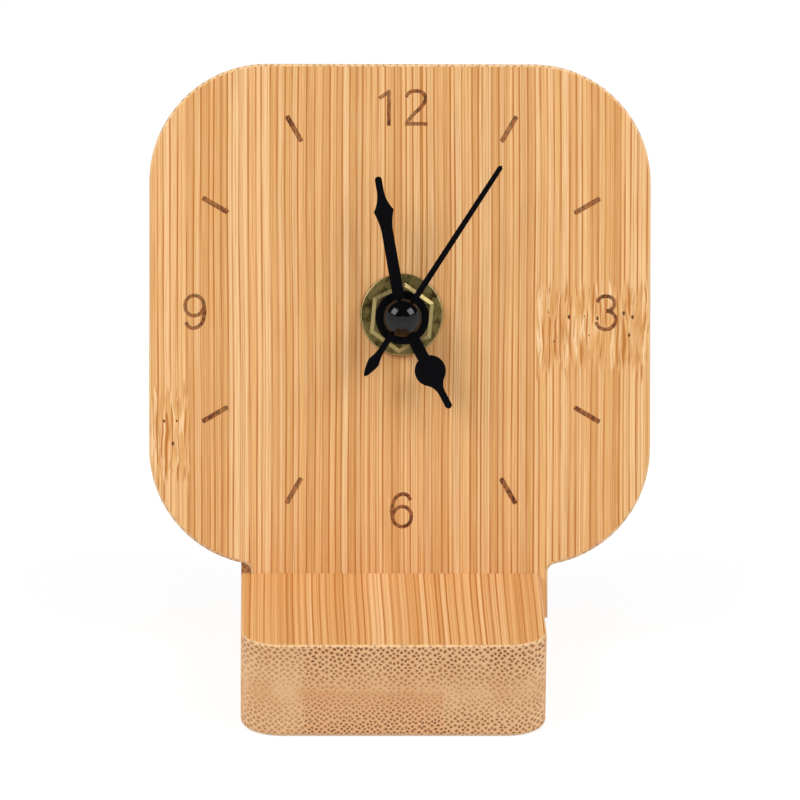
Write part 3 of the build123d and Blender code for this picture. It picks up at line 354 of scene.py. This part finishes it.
def bamboo(
    name,
    turn,
    centre,
    strips,
    knots,
    skin,
    tint,
    reach=1.0,
    weak_below=-100.0,
    red_strip=None,
    pale_edge=0.0,
    scorched=False,
):
    """Pressed bamboo strips whose fibres follow y in the turned frame.

    Across the fibres, strips is (first edge, width), pale_edge lightens what lies before the first edge, the
    ends' dots are weak up to weak_below, and red_strip is the (from, to) of a redder layer. Knots are (from,
    to, height, half height) bands. Skin is (middle, half height) of the two layers that show at the ends."""
    material, tree, shader, place = start_finish(name)
    here = in_millimetres(tree, place, turn, centre)
    axes = split(tree, here)
    across, along, deep = axes[0], axes[1], axes[2]
    facing = put(
        tree,
        "ShaderNodeVectorRotate",
        {"Vector": place.outputs["Normal"], "Angle": -turn[0], "Axis": (1.0, 0.0, 0.0)},
        rotation_type="AXIS_ANGLE",
    ).outputs[0]
    sides = split(tree, facing)
    strip = calc(tree, "FLOOR", divided(tree, minus(tree, across, strips[0]), strips[1]))
    own = random_of(tree, strip, 2.0, 3.7)["Value"]
    gentle = minus(tree, grain_noise(tree, here, (0.03, 0.012, 0.03), 1.0), 0.5)
    bent = plus(tree, across, times(tree, gentle, 1.4))
    shifted = plus(tree, bent, times(tree, strip, 37.0))
    flank = calc(tree, "GREATER_THAN", calc(tree, "ABSOLUTE", sides[0]), calc(tree, "ABSOLUTE", sides[2]))
    stacked = plus(tree, plus(tree, deep, times(tree, gentle, 1.4)), 613.0)
    order = pick(tree, flank, shifted, stacked)
    spread = pick(tree, flank, across, deep)
    long_grain, dark, fine = long_fibres(tree, order, along, times(tree, deep, 0.1), reach)
    tips = grain_noise(tree, here, (1.4, 0.02, 0.6), 1.0)
    for low, high, height, half in knots:
        inside = inside_band(tree, across, low, high, 0.2)
        away = calc(tree, "ABSOLUTE", minus(tree, along, height))
        ragged = plus(tree, away, times(tree, minus(tree, tips, 0.5), half * 1.6))
        share = times(tree, inside, ease(tree, ragged, half + 1.0, half - 1.5))
        long_grain = blend_colour(tree, share, long_grain, knot_fibres(tree, spread, along, deep))
        for salt, pitch, level in ((5.3, 3.5, height + half * 0.33), (10.6, 7.0, height - half * 0.25)):
            holes = times(tree, inside, speck_row(tree, spread, along, level, pitch, salt))
            long_grain = blend_colour(tree, holes, long_grain, SPECK)
    if red_strip:
        lowered = ease(tree, minus(tree, deep, skin[0]), 0.3, -0.3, 0.3, 1.0)
        red = times(tree, inside_band(tree, across, red_strip[0], red_strip[1], 0.4), lowered)
    else:
        red = 0.0
    end_grain, dots = fibre_ends(tree, across, deep, here, skin, weak_below, red)
    ends = ease(tree, calc(tree, "ABSOLUTE", sides[1]), 0.18, 0.4)
    colour = blend_colour(tree, ends, long_grain, end_grain)
    shade = ease(tree, own, 0.0, 1.0, 1.0, 1.03)
    shade = plus(tree, shade, times(tree, calc(tree, "LESS_THAN", across, strips[0]), pale_edge))
    toned = joined(tree, *(times(tree, shade, part) for part in tint))
    colour = blend_colour(tree, 1.0, colour, toned, "MULTIPLY")
    # Painted highlight: a pale band is mixed into the colour along the eased edges between the faces and the
    # sides, where they would catch the light
    edge_wear_and_painted_highlight = inside_band(tree, calc(tree, "ABSOLUTE", sides[2]), 0.35, 0.93, 0.06)
    colour = blend_colour(tree, times(tree, edge_wear_and_painted_highlight, 0.5), colour, PALE)
    if scorched:
        blots = grain_noise(tree, here, (1.7, 0.9, 1.2), 2.0, 0.6)
        depth_of_burn = grain_noise(tree, here, (0.3, 0.1, 0.3), 1.0)
        burnt = blend_colour(tree, ease(tree, blots, 0.4, 0.6), SCORCHED, CHARRED)
        share = ease(tree, depth_of_burn, 0.36, 0.6, 0.8, 0.98)
        colour = blend_colour(tree, share, colour, burnt)
    tree.links.new(colour, shader.inputs["Base Color"])
    tree.links.new(ease(tree, fine, 0.3, 0.7, 0.42, 0.6), shader.inputs["Roughness"])
    shader.inputs["Specular IOR Level"].default_value = 0.35
    relief = minus(tree, times(tree, fine, 0.4), times(tree, dark, 0.6))
    relief = minus(tree, relief, times(tree, times(tree, dots, ends), 1.2))
    raise_detail(tree, shader, relief, 0.00004, 0.6)
    return material


FACE_WOOD = {
    "turn": (FACE_TURN, 0, 0),
    "centre": tuple(FACE_CENTRE),
    "strips": (-41.9, 23.0),
    "knots": ((27.2, 50.5, -2.6, 8.0), (-50.5, -41.9, -24.0, 8.0)),
    "skin": (-4.0, 4.0),
    "tint": (1.0, 1.0, 1.0),
}
bamboo_face = bamboo("bamboo_face", **FACE_WOOD, pale_edge=0.025)
bamboo_mark = bamboo("scorched_bamboo", **FACE_WOOD, scorched=True)
bamboo_block = bamboo(
    "bamboo_block",
    turn=(0, 0, 0),
    centre=(0, 0, 0),
    strips=(-17.5, 27.0),
    knots=(),
    skin=(9.3, 9.5),
    tint=(0.945, 0.92, 0.91),
    reach=8.0,
    weak_below=-17.5,
    red_strip=(-17.5, 9.5),
)


# Metals and plastics

def metal(name, colour, stained, rough, patch=0.35, brushed=(0.6, 0.6, 0.6), dull_sides=0.0, edge_wear_and_painted_highlight=None):
    """Metal with stains and fine turning marks.

    Where a wear colour is given, slopes have it, and walls that stand up from the clock's face are duller."""
    material, tree, shader, place = start_finish(name)
    here = in_millimetres(tree, place)
    cloud = grain_noise(tree, here, (0.45, 0.45, 0.45), 4.0, 0.65)
    scratch = grain_noise(tree, here, brushed, 3.0, 0.7)
    tint = blend_colour(tree, ease(tree, cloud, 0.42, 0.68, 0.0, patch * 2), colour, stained)
    roughness = ease(tree, scratch, 0.3, 0.7, rough - 0.06, rough + 0.1)
    # On metal this colour is the slopes' real wear, not painted light
    if edge_wear_and_painted_highlight:
        out = (0.0, -math.cos(LEAN), math.sin(LEAN))
        normal = place.outputs["Normal"]
        product = put(tree, "ShaderNodeVectorMath", {0: normal, 1: out}, operation="DOT_PRODUCT")
        facing = product.outputs["Value"]
        slope = inside_band(tree, facing, 0.58, 0.94, 0.03)
        tint = blend_colour(tree, times(tree, slope, 0.9), tint, edge_wear_and_painted_highlight)
        roughness = plus(tree, roughness, ease(tree, facing, 0.5, 0.2, 0.0, dull_sides))
        roughness = minus(tree, roughness, times(tree, slope, 0.04))
    tree.links.new(tint, shader.inputs["Base Color"])
    tree.links.new(roughness, shader.inputs["Roughness"])
    shader.inputs["Metallic"].default_value = 1.0
    raise_detail(tree, shader, scratch, 0.000004, 0.3)
    return material


def moulded(name, colour, rough=0.45, texture=0.00002, tint=0.15, cell=2.2, specular=0.5):
    """Moulded plastic, rubber or resin with a fine texture."""
    material, tree, shader, place = start_finish(name)
    here = in_millimetres(tree, place)
    fine = grain_noise(tree, here, (cell, cell, cell), 2.0, 0.6)
    cloud = grain_noise(tree, here, (0.08, 0.08, 0.08), 2.0)
    lighter = tuple(min(1.0, c * (1 + tint) + tint * 0.02) for c in colour)
    tree.links.new(blend_colour(tree, cloud, colour, lighter), shader.inputs["Base Color"])
    tree.links.new(ease(tree, fine, 0.3, 0.7, rough - 0.05, rough + 0.08), shader.inputs["Roughness"])
    shader.inputs["Specular IOR Level"].default_value = specular
    raise_detail(tree, shader, fine, texture, 0.5)
    return material


TURNED = (3.0, 3.0, 3.0)
BROWN_STAIN = srgb(66, 53, 26)
aged_brass = metal(
    "aged_brass", srgb(136, 121, 72), BROWN_STAIN, 0.38, 0.5, TURNED, dull_sides=0.1, edge_wear_and_painted_highlight=srgb(206, 190, 138)
)
nut_brass = metal(
    "nut_brass", srgb(136, 120, 76), BROWN_STAIN, 0.36, 0.5, TURNED, dull_sides=0.25, edge_wear_and_painted_highlight=srgb(164, 147, 98)
)
shaft_brass = metal("shaft_brass", srgb(178, 154, 90), srgb(112, 90, 46), 0.3, 0.3, TURNED)
matt_black = moulded("matt_black_paint", srgb(5, 5, 8), 0.5, 0.000006, 0.1, 6.0, 0.04)
gloss_black = moulded("gloss_black", srgb(3, 3, 4), 0.09, 0.0000005, 0.05, 1.0, 0.34)
case_black = moulded("case_black", srgb(36, 36, 38), 0.46, 0.00004, 0.2, 2.4)
gasket_black = moulded("gasket_black", srgb(22, 22, 22), 0.75, 0.00002, 0.2, 2.0, 0.3)
frame_white = moulded("frame_white", srgb(222, 220, 210), 0.4, 0.00001)
wheel_white = moulded("wheel_white", srgb(235, 231, 218), 0.35, 0.00001)
bright_steel = metal("bright_steel", srgb(205, 205, 208), srgb(170, 170, 172), 0.22, 0.2, (0.4, 6.0, 6.0))
soft_iron = metal("soft_iron", srgb(150, 150, 154), srgb(118, 116, 114), 0.35, 0.3, (4.0, 0.5, 0.5))
copper_wire = metal("copper_wire", srgb(196, 108, 58), srgb(150, 74, 38), 0.3, 0.3, (9.0, 0.3, 0.3))
magnet_grey = moulded("magnet_grey", srgb(62, 62, 66), 0.6, 0.00002)
board_tan = moulded("laminate", srgb(176, 140, 82), 0.35, 0.00001, 0.3, 5.0)
chip_black = moulded("chip_resin", srgb(14, 14, 15), 0.25, 0.00001)


def cell_with_jacket():
    """Printed sleeve with a copper band, and bare steel at both ends of the cell."""
    material, tree, shader, place = start_finish("cell_with_jacket")
    here = in_millimetres(tree, place)
    right = split(tree, here)[0]
    fine = grain_noise(tree, here, (0.2, 3.0, 3.0), 2.0, 0.6)
    off_middle = calc(tree, "ABSOLUTE", minus(tree, right, CELL_MIDDLE))
    sleeve = calc(tree, "LESS_THAN", off_middle, CELL_SLEEVE / 2)
    band = calc(tree, "GREATER_THAN", right, CELL_MIDDLE + CELL_SLEEVE / 2 - CELL_BAND)
    colour = blend_colour(tree, ease(tree, fine, 0.3, 0.7), srgb(36, 40, 50), srgb(44, 49, 60))
    colour = blend_colour(tree, band, colour, srgb(186, 122, 66))
    colour = blend_colour(tree, sleeve, srgb(196, 196, 200), colour)
    tree.links.new(colour, shader.inputs["Base Color"])
    bare = minus(tree, 1.0, sleeve)
    tree.links.new(calc(tree, "MAXIMUM", bare, times(tree, band, 0.6)), shader.inputs["Metallic"])
    tree.links.new(ease(tree, fine, 0.3, 0.7, 0.26, 0.34), shader.inputs["Roughness"])
    raise_detail(tree, shader, plus(tree, sleeve, times(tree, fine, 0.02)), 0.0001, 0.6)
    return material


cell_finish = cell_with_jacket()

FINISHES = {
    "face_board": bamboo_face,
    "base_block": bamboo_block,
    "dial_washer": aged_brass,
    "hex_nut": nut_brass,
    "minute_arbor": shaft_brass,
    "hour_hand": matt_black,
    "minute_hand": matt_black,
    "second_hand": matt_black,
    "hand_cap": gloss_black,
    "movement_gasket": gasket_black,
    "movement_case": case_black,
    "movement_cover": case_black,
    "setting_knob": case_black,
    "train_plate": frame_white,
    "coil_bobbin": frame_white,
    "hour_wheel": wheel_white,
    "clutch_wheel": wheel_white,
    "motion_wheel": wheel_white,
    "third_wheel": wheel_white,
    "intermediate_wheel": wheel_white,
    "second_wheel": bright_steel,
    "clutch_spring": bright_steel,
    "contact_positive": bright_steel,
    "contact_negative": bright_steel,
    "quartz_crystal": bright_steel,
    "motor_stator": soft_iron,
    "coil_core": soft_iron,
    "coil_winding": copper_wire,
    "motor_rotor": magnet_grey,
    "circuit_board": board_tan,
    "timing_chip": chip_black,
    "battery_cell": cell_finish,
}


def select_only(*pieces):
    bpy.ops.object.select_all(action="DESELECT")
    for piece in pieces:
        piece.select_set(True)
    bpy.context.view_layer.objects.active = pieces[-1]


def settle(piece, name, material, body):
    """Names a finished piece, gives it its one material and lets it move with its body."""
    piece.name = name
    piece.data.materials.clear()
    piece.data.materials.append(material)
    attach(piece, body)


def body_of(node_name):
    """The body that a CAD node belongs to."""
    bodies = frame["record"]["behaviour"]["bodies"]
    return next(body for body, members in bodies.items() if node_name in members)


def smooth_copy(node_name, material, sharp):
    """A merged copy of a CAD node, smooth across its shallow edges, which is shown in its place."""
    piece = bpy.data.objects.new(node_name + "_finished", nodes[node_name].data.copy())
    bpy.context.scene.collection.objects.link(piece)
    select_only(piece)
    bpy.ops.object.mode_set(mode="EDIT")
    bpy.ops.mesh.select_all(action="SELECT")
    bpy.ops.mesh.remove_doubles(threshold=WELD)
    bpy.ops.mesh.dissolve_limited(angle_limit=math.radians(0.2), use_dissolve_boundaries=False)
    bpy.ops.object.mode_set(mode="OBJECT")
    bpy.ops.object.shade_smooth_by_angle(angle=math.radians(sharp))
    even = piece.modifiers.new("flat_faces_stay_flat", "WEIGHTED_NORMAL")
    even.weight = 80
    even.keep_sharp = True
    bpy.ops.object.modifier_apply(modifier=even.name)
    settle(piece, node_name + "_finished", material, body_of(node_name))
    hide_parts(node_name)


def plain_node(node_name, material):
    """A CAD node that stays as it is and only gets its material."""
    for slot in nodes[node_name].material_slots:
        slot.material = material


# The nodes that are shown by a smoothed copy, with their slots, and the angles past which edges stay sharp
SMOOTHED = {
    "face_board": "bamboo",
    "base_block": "bamboo",
    "dial_washer": "brass",
    "hex_nut": "brass",
    "minute_arbor": "brass",
    "hour_hand": "hand_black",
    "minute_hand": "hand_black",
    "second_hand": "hand_black",
    "hand_cap": "gloss_black",
    "movement_case": "case_plastic",
    "movement_cover": "case_plastic",
    "setting_knob": "case_plastic",
    "battery_cell": "cell_jacket",
    "coil_winding": "copper_wire",
}
USUAL_SHARP = 30.0
SHARP = {"dial_washer": 60.0, "hex_nut": 20.0, "hand_cap": 50.0}
for node_name, finish in FINISHES.items():
    if node_name in SMOOTHED:
        smooth_copy(node_name, finish, SHARP.get(node_name, USUAL_SHARP))
    else:
        plain_node(node_name, finish)


# Threaded bushing

def profile_piece(points):
    """A closed line through (right, up) points in millimetres on the xz plane, to be turned about z."""
    bpy.ops.object.select_all(action="DESELECT")
    bpy.ops.mesh.primitive_circle_add(vertices=len(points), radius=MM, fill_type="NOTHING")
    piece = bpy.context.object
    for vertex, (right, up) in zip(piece.data.vertices, points):
        vertex.co = (right * MM, 0, up * MM)
    return piece


def make_threaded_bushing():
    """The brass tube with its flange, and the thread that the nut turns on."""
    root = BUSHING_RADIUS - THREAD_DEPTH
    flange_rear = FLANGE_FRONT - FLANGE_THICKNESS
    tube = profile_piece(
        [
            (BUSHING_BORE, flange_rear),
            (FLANGE_RADIUS, flange_rear),
            (FLANGE_RADIUS, FLANGE_FRONT),
            (BUSHING_RADIUS, FLANGE_FRONT),
            (BUSHING_RADIUS, THREAD_START - THREAD_PITCH),
            (root, THREAD_START - THREAD_PITCH / 2),
            (root, BUSHING_END - TUBE_EDGE),
            (root - TUBE_EDGE, BUSHING_END),
            (BUSHING_BORE + TUBE_EDGE, BUSHING_END),
            (BUSHING_BORE, BUSHING_END - TUBE_EDGE),
        ]
    )
    bpy.ops.object.mode_set(mode="EDIT")
    bpy.ops.mesh.select_all(action="SELECT")
    bpy.ops.mesh.spin(steps=96, angle=2 * math.pi, center=(0, 0, 0), axis=(0, 0, 1))
    bpy.ops.mesh.select_all(action="SELECT")
    bpy.ops.mesh.remove_doubles(threshold=WELD / 2)
    bpy.ops.mesh.normals_make_consistent(inside=False)
    bpy.ops.object.mode_set(mode="OBJECT")
    ridge = profile_piece(
        [
            (root - THREAD_SUNK, -THREAD_FOOT),
            (BUSHING_RADIUS - THREAD_WORN, -THREAD_CREST),
            (BUSHING_RADIUS - THREAD_WORN, THREAD_CREST),
            (root - THREAD_SUNK, THREAD_FOOT),
        ]
    )
    turns = int((BUSHING_END - BUSHING_CHAMFER - THREAD_START) / THREAD_PITCH)
    coil = ridge.modifiers.new("thread", "SCREW")
    coil.axis = "Z"
    coil.screw_offset = THREAD_PITCH * MM
    coil.iterations = turns
    coil.steps = coil.render_steps = 48
    bpy.ops.object.modifier_apply(modifier=coil.name)
    for vertex in ridge.data.vertices:
        vertex.co.z += THREAD_START * MM
    bpy.ops.object.mode_set(mode="EDIT")
    bpy.ops.mesh.select_all(action="SELECT")
    bpy.ops.mesh.remove_doubles(threshold=WELD / 2)
    bpy.ops.mesh.select_all(action="DESELECT")
    bpy.ops.mesh.select_mode(type="EDGE")
    bpy.ops.mesh.select_non_manifold(extend=False)
    bpy.ops.mesh.fill()
    bpy.ops.mesh.select_all(action="SELECT")
    bpy.ops.mesh.normals_make_consistent(inside=False)
    bpy.ops.object.mode_set(mode="OBJECT")
    select_only(ridge, tube)
    bpy.ops.object.join()
    bushing = bpy.context.object
    bushing.data.transform(SHAFT_FRAME @ bushing.matrix_world)
    bushing.matrix_world = Matrix.Identity(4)
    select_only(bushing)
    bpy.ops.object.shade_smooth_by_angle(angle=TUBE_SHARP)
    settle(bushing, "threaded_bushing", shaft_brass, body_of("shaft_bushing"))
    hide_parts("shaft_bushing")


make_threaded_bushing()


# Dial marks

def lay_on_face(piece, right, up, turn=0.0):
    """Moves a piece that was made flat at the origin to its place on the face."""
    place = Matrix.Translation((right * MM, up * MM, 0)) @ Matrix.Rotation(turn, 4, "Z")
    piece.data.transform(FACE_FRAME @ place @ piece.matrix_world)
    piece.matrix_world = Matrix.Identity(4)


def make_tick(name, hour):
    """A scorched bar with round ends, pointing at the middle of the dial."""
    bpy.ops.object.select_all(action="DESELECT")
    bpy.ops.mesh.primitive_cube_add(size=1)
    tick = bpy.context.object
    tick.scale = (TICK_WIDTH * MM, TICK_LENGTH * MM, MARK_HEIGHT * MM)
    bpy.ops.object.transform_apply(location=False, rotation=False, scale=True)
    bpy.ops.object.mode_set(mode="EDIT")
    bpy.ops.mesh.select_all(action="DESELECT")
    bpy.ops.object.mode_set(mode="OBJECT")
    for edge in tick.data.edges:
        a, b = (tick.data.vertices[i].co for i in edge.vertices)
        edge.select = abs(a.z - b.z) > MARK_HEIGHT * MM / 2
    bpy.ops.object.mode_set(mode="EDIT")
    bpy.ops.mesh.select_mode(type="EDGE")
    bpy.ops.mesh.bevel(offset=0.28 * TICK_WIDTH * MM, segments=3, affect="EDGES")
    bpy.ops.object.mode_set(mode="OBJECT")
    clockwise = math.radians(30 * hour)
    right = DIAL_CENTRE[0] + TICK_CIRCLE * math.sin(clockwise)
    up = DIAL_CENTRE[1] + TICK_CIRCLE * math.cos(clockwise) * DIAL_SQUASH
    lay_on_face(tick, right, up, -clockwise)
    settle(tick, name, bamboo_mark, "clock_body")


# Each digit's strokes, as points in millimetres from its middle. A nine is a turned six
DIGITS = {
    "1": [((-1.2, 1.85), (0.75, 3.2)), ((0.7, 3.55), (0.7, -3.6))],
    "2": [
        (
            (-2.0, 2.1), (-1.4, 3.0), (0.05, 3.35), (1.5, 2.75),
            (1.8, 1.5), (0.9, 0.1), (-0.7, -1.5), (-1.8, -2.9),
        ),
        ((-2.25, -3.2), (2.3, -3.2)),
    ],
    "3": [
        ((-1.85, 2.1), (-1.15, 3.0), (0.1, 3.3), (1.4, 2.75), (1.68, 1.7), (1.2, 0.75), (0.1, 0.35)),
        ((0.1, 0.35), (1.35, -0.1), (1.93, -1.4), (1.35, -2.7), (0.1, -3.3), (-1.3, -2.9), (-2.03, -1.85)),
    ],
    "6": [
        (
            (1.75, 2.1), (1.15, 3.0), (0.25, 3.3), (-1.2, 2.55),
            (-1.85, 0.9), (-1.9, -0.9), (-1.3, -2.6), (0.0, -3.3),
        ),
        ((0.0, -3.3), (1.35, -2.7), (1.9, -1.25), (1.4, 0.25), (0.2, 0.8), (-1.1, 0.35), (-1.85, -0.9)),
    ],
}


def draw_digit(strokes, turned=False):
    """Flat strokes with round ends, made from smooth lines through a few points."""
    bpy.ops.object.select_all(action="DESELECT")
    bpy.ops.curve.primitive_bezier_curve_add()
    line = bpy.context.object
    line.data.splines.clear()
    flip = -1 if turned else 1
    for stroke in strokes:
        spline = line.data.splines.new("BEZIER")
        spline.bezier_points.add(len(stroke) - 1)
        for point, (x, y) in zip(spline.bezier_points, stroke):
            point.co = (x * flip * MM, y * flip * MM, 0)
            point.handle_left_type = point.handle_right_type = "AUTO"
    line.data.bevel_depth = STROKE * MM / 2
    line.data.bevel_resolution = 3
    line.data.resolution_u = 6
    line.data.use_fill_caps = True
    bpy.ops.object.convert(target="MESH")
    digit = bpy.context.object
    for vertex in digit.data.vertices:
        vertex.co.z *= MARK_HEIGHT / STROKE
    return digit


def make_number(name, digits, right, up):
    """A scorched number, its digits side by side about the place where it stands."""
    made = []
    for digit, shift in digits:
        piece = draw_digit(DIGITS["6" if digit == "9" else digit], digit == "9")
        for vertex in piece.data.vertices:
            vertex.co.x += shift * MM
        made.append(piece)
    select_only(*made)
    if len(made) > 1:
        bpy.ops.object.join()
    number = bpy.context.object
    lay_on_face(number, right, up)
    settle(number, name, bamboo_mark, "clock_body")


for hour in (1, 2, 4, 5, 7, 8, 10, 11):
    make_tick(f"tick_{hour:02d}", hour)
make_number("number_12", (("1", -3.6), ("2", 2.55)), 0.6, 41.3)
make_number("number_3", (("3", 0.0),), 41.1, 0.5)
make_number("number_6", (("6", 0.0),), 0.4, -39.0)
make_number("number_9", (("9", 0.0),), -40.9, 0.6)


# Studio

COVE_RADIUS = 5.0
COVE_HEIGHT = 2.0
LAMP_PLACE = (0.795, -0.42, 0.86)
LAMP_SIZE = (0.63, 0.58)
LAMP_POWER = 6.6
LAMP_AIM = Vector((0, 0.02, 0.06))
CAMERA_PLACE = Vector((-27.53, -1193.74, 442.28)) * MM
CAMERA_TURN = math.radians(1.389)
CAMERA_DROP = math.radians(17.838)
CAMERA_ROLL = math.radians(0.503)
SENSOR_WIDTH = 36.0
FOCAL_LENGTH = SENSOR_WIDTH * 6390 / 800


def make_cove():
    """A round floor with a raised rim, far enough out to be behind the clock from all sides.

    The camera and polished pieces see it white, and the clock keeps its shadow on it."""
    bpy.ops.object.select_all(action="DESELECT")
    bpy.ops.mesh.primitive_circle_add(vertices=96, radius=COVE_RADIUS, fill_type="NGON")
    cove = bpy.context.object
    bpy.ops.object.mode_set(mode="EDIT")
    bpy.ops.mesh.select_mode(type="EDGE")
    bpy.ops.mesh.select_all(action="SELECT")
    bpy.ops.mesh.extrude_edges_move(TRANSFORM_OT_translate={"value": (0, 0, COVE_HEIGHT)})
    bpy.ops.object.mode_set(mode="OBJECT")
    cove.name = "white_cove"
    material = bpy.data.materials.new("cove_white")
    material.use_nodes = True
    tree = material.node_tree
    tree.nodes.clear()
    path = put(tree, "ShaderNodeLightPath")
    matt = put(tree, "ShaderNodeBsdfDiffuse", {"Color": (0.75, 0.75, 0.75, 1.0)})
    faint = put(tree, "ShaderNodeBsdfDiffuse", {"Color": (0.3, 0.3, 0.3, 1.0)})
    glow = put(tree, "ShaderNodeEmission", {"Color": (1.0, 1.0, 1.0, 1.0), "Strength": 0.78})
    shown = put(tree, "ShaderNodeAddShader", {0: faint.outputs[0], 1: glow.outputs[0]})
    camera, mirror, glass = (path.outputs[f"Is {ray} Ray"] for ray in ("Camera", "Glossy", "Transmission"))
    seen = calc(tree, "MAXIMUM", camera, calc(tree, "MAXIMUM", mirror, glass))
    mixed = put(tree, "ShaderNodeMixShader", {0: seen, 1: matt.outputs[0], 2: shown.outputs[0]})
    out = put(tree, "ShaderNodeOutputMaterial")
    tree.links.new(mixed.outputs[0], out.inputs[0])
    cove.data.materials.append(material)


def make_world():
    """White light from all round, which polished pieces hardly see."""
    world = bpy.data.worlds.new("studio")
    bpy.context.scene.world = world
    world.use_nodes = True
    tree = world.node_tree
    background = tree.nodes["Background"]
    background.inputs["Color"].default_value = (1.0, 1.0, 1.0, 1.0)
    mirrored = put(tree, "ShaderNodeLightPath").outputs["Is Glossy Ray"]
    tree.links.new(ease(tree, mirrored, 0.0, 1.0, 0.5, 0.05), background.inputs["Strength"])


def make_lamp(name, side):
    """A soft box that faces the clock, on its left (-1) or its right (1)."""
    data = bpy.data.lights.new(name, "AREA")
    data.shape = "RECTANGLE"
    data.size, data.size_y = LAMP_SIZE
    data.energy = LAMP_POWER
    lamp = bpy.data.objects.new(name, data)
    bpy.context.scene.collection.objects.link(lamp)
    lamp.location = (side * LAMP_PLACE[0], LAMP_PLACE[1], LAMP_PLACE[2])
    aim = LAMP_AIM - lamp.location
    lamp.rotation_euler = aim.to_track_quat("-Z", "Y").to_euler()


def make_camera():
    """The photograph's viewpoint: position, direction, roll and a long lens."""
    flat = math.cos(CAMERA_DROP)
    ahead = Vector((math.sin(CAMERA_TURN) * flat, math.cos(CAMERA_TURN) * flat, -math.sin(CAMERA_DROP)))
    right = ahead.cross(Vector((0, 0, 1))).normalized()
    up = right.cross(ahead)
    tilted_right = right * math.cos(CAMERA_ROLL) + up * math.sin(CAMERA_ROLL)
    tilted_up = up * math.cos(CAMERA_ROLL) - right * math.sin(CAMERA_ROLL)
    data = bpy.data.cameras.new("camera")
    data.sensor_width = SENSOR_WIDTH
    data.lens = FOCAL_LENGTH
    data.clip_end = 50
    camera = bpy.data.objects.new("camera", data)
    bpy.context.scene.collection.objects.link(camera)
    axes = Matrix((tilted_right, tilted_up, -ahead)).transposed().to_4x4()
    camera.matrix_world = Matrix.Translation(CAMERA_PLACE) @ axes
    bpy.context.scene.camera = camera


make_cove()
make_world()
make_lamp("soft_box_left", -1)
make_lamp("soft_box_right", 1)
make_camera()
bpy.context.scene.view_settings.view_transform = "Standard"
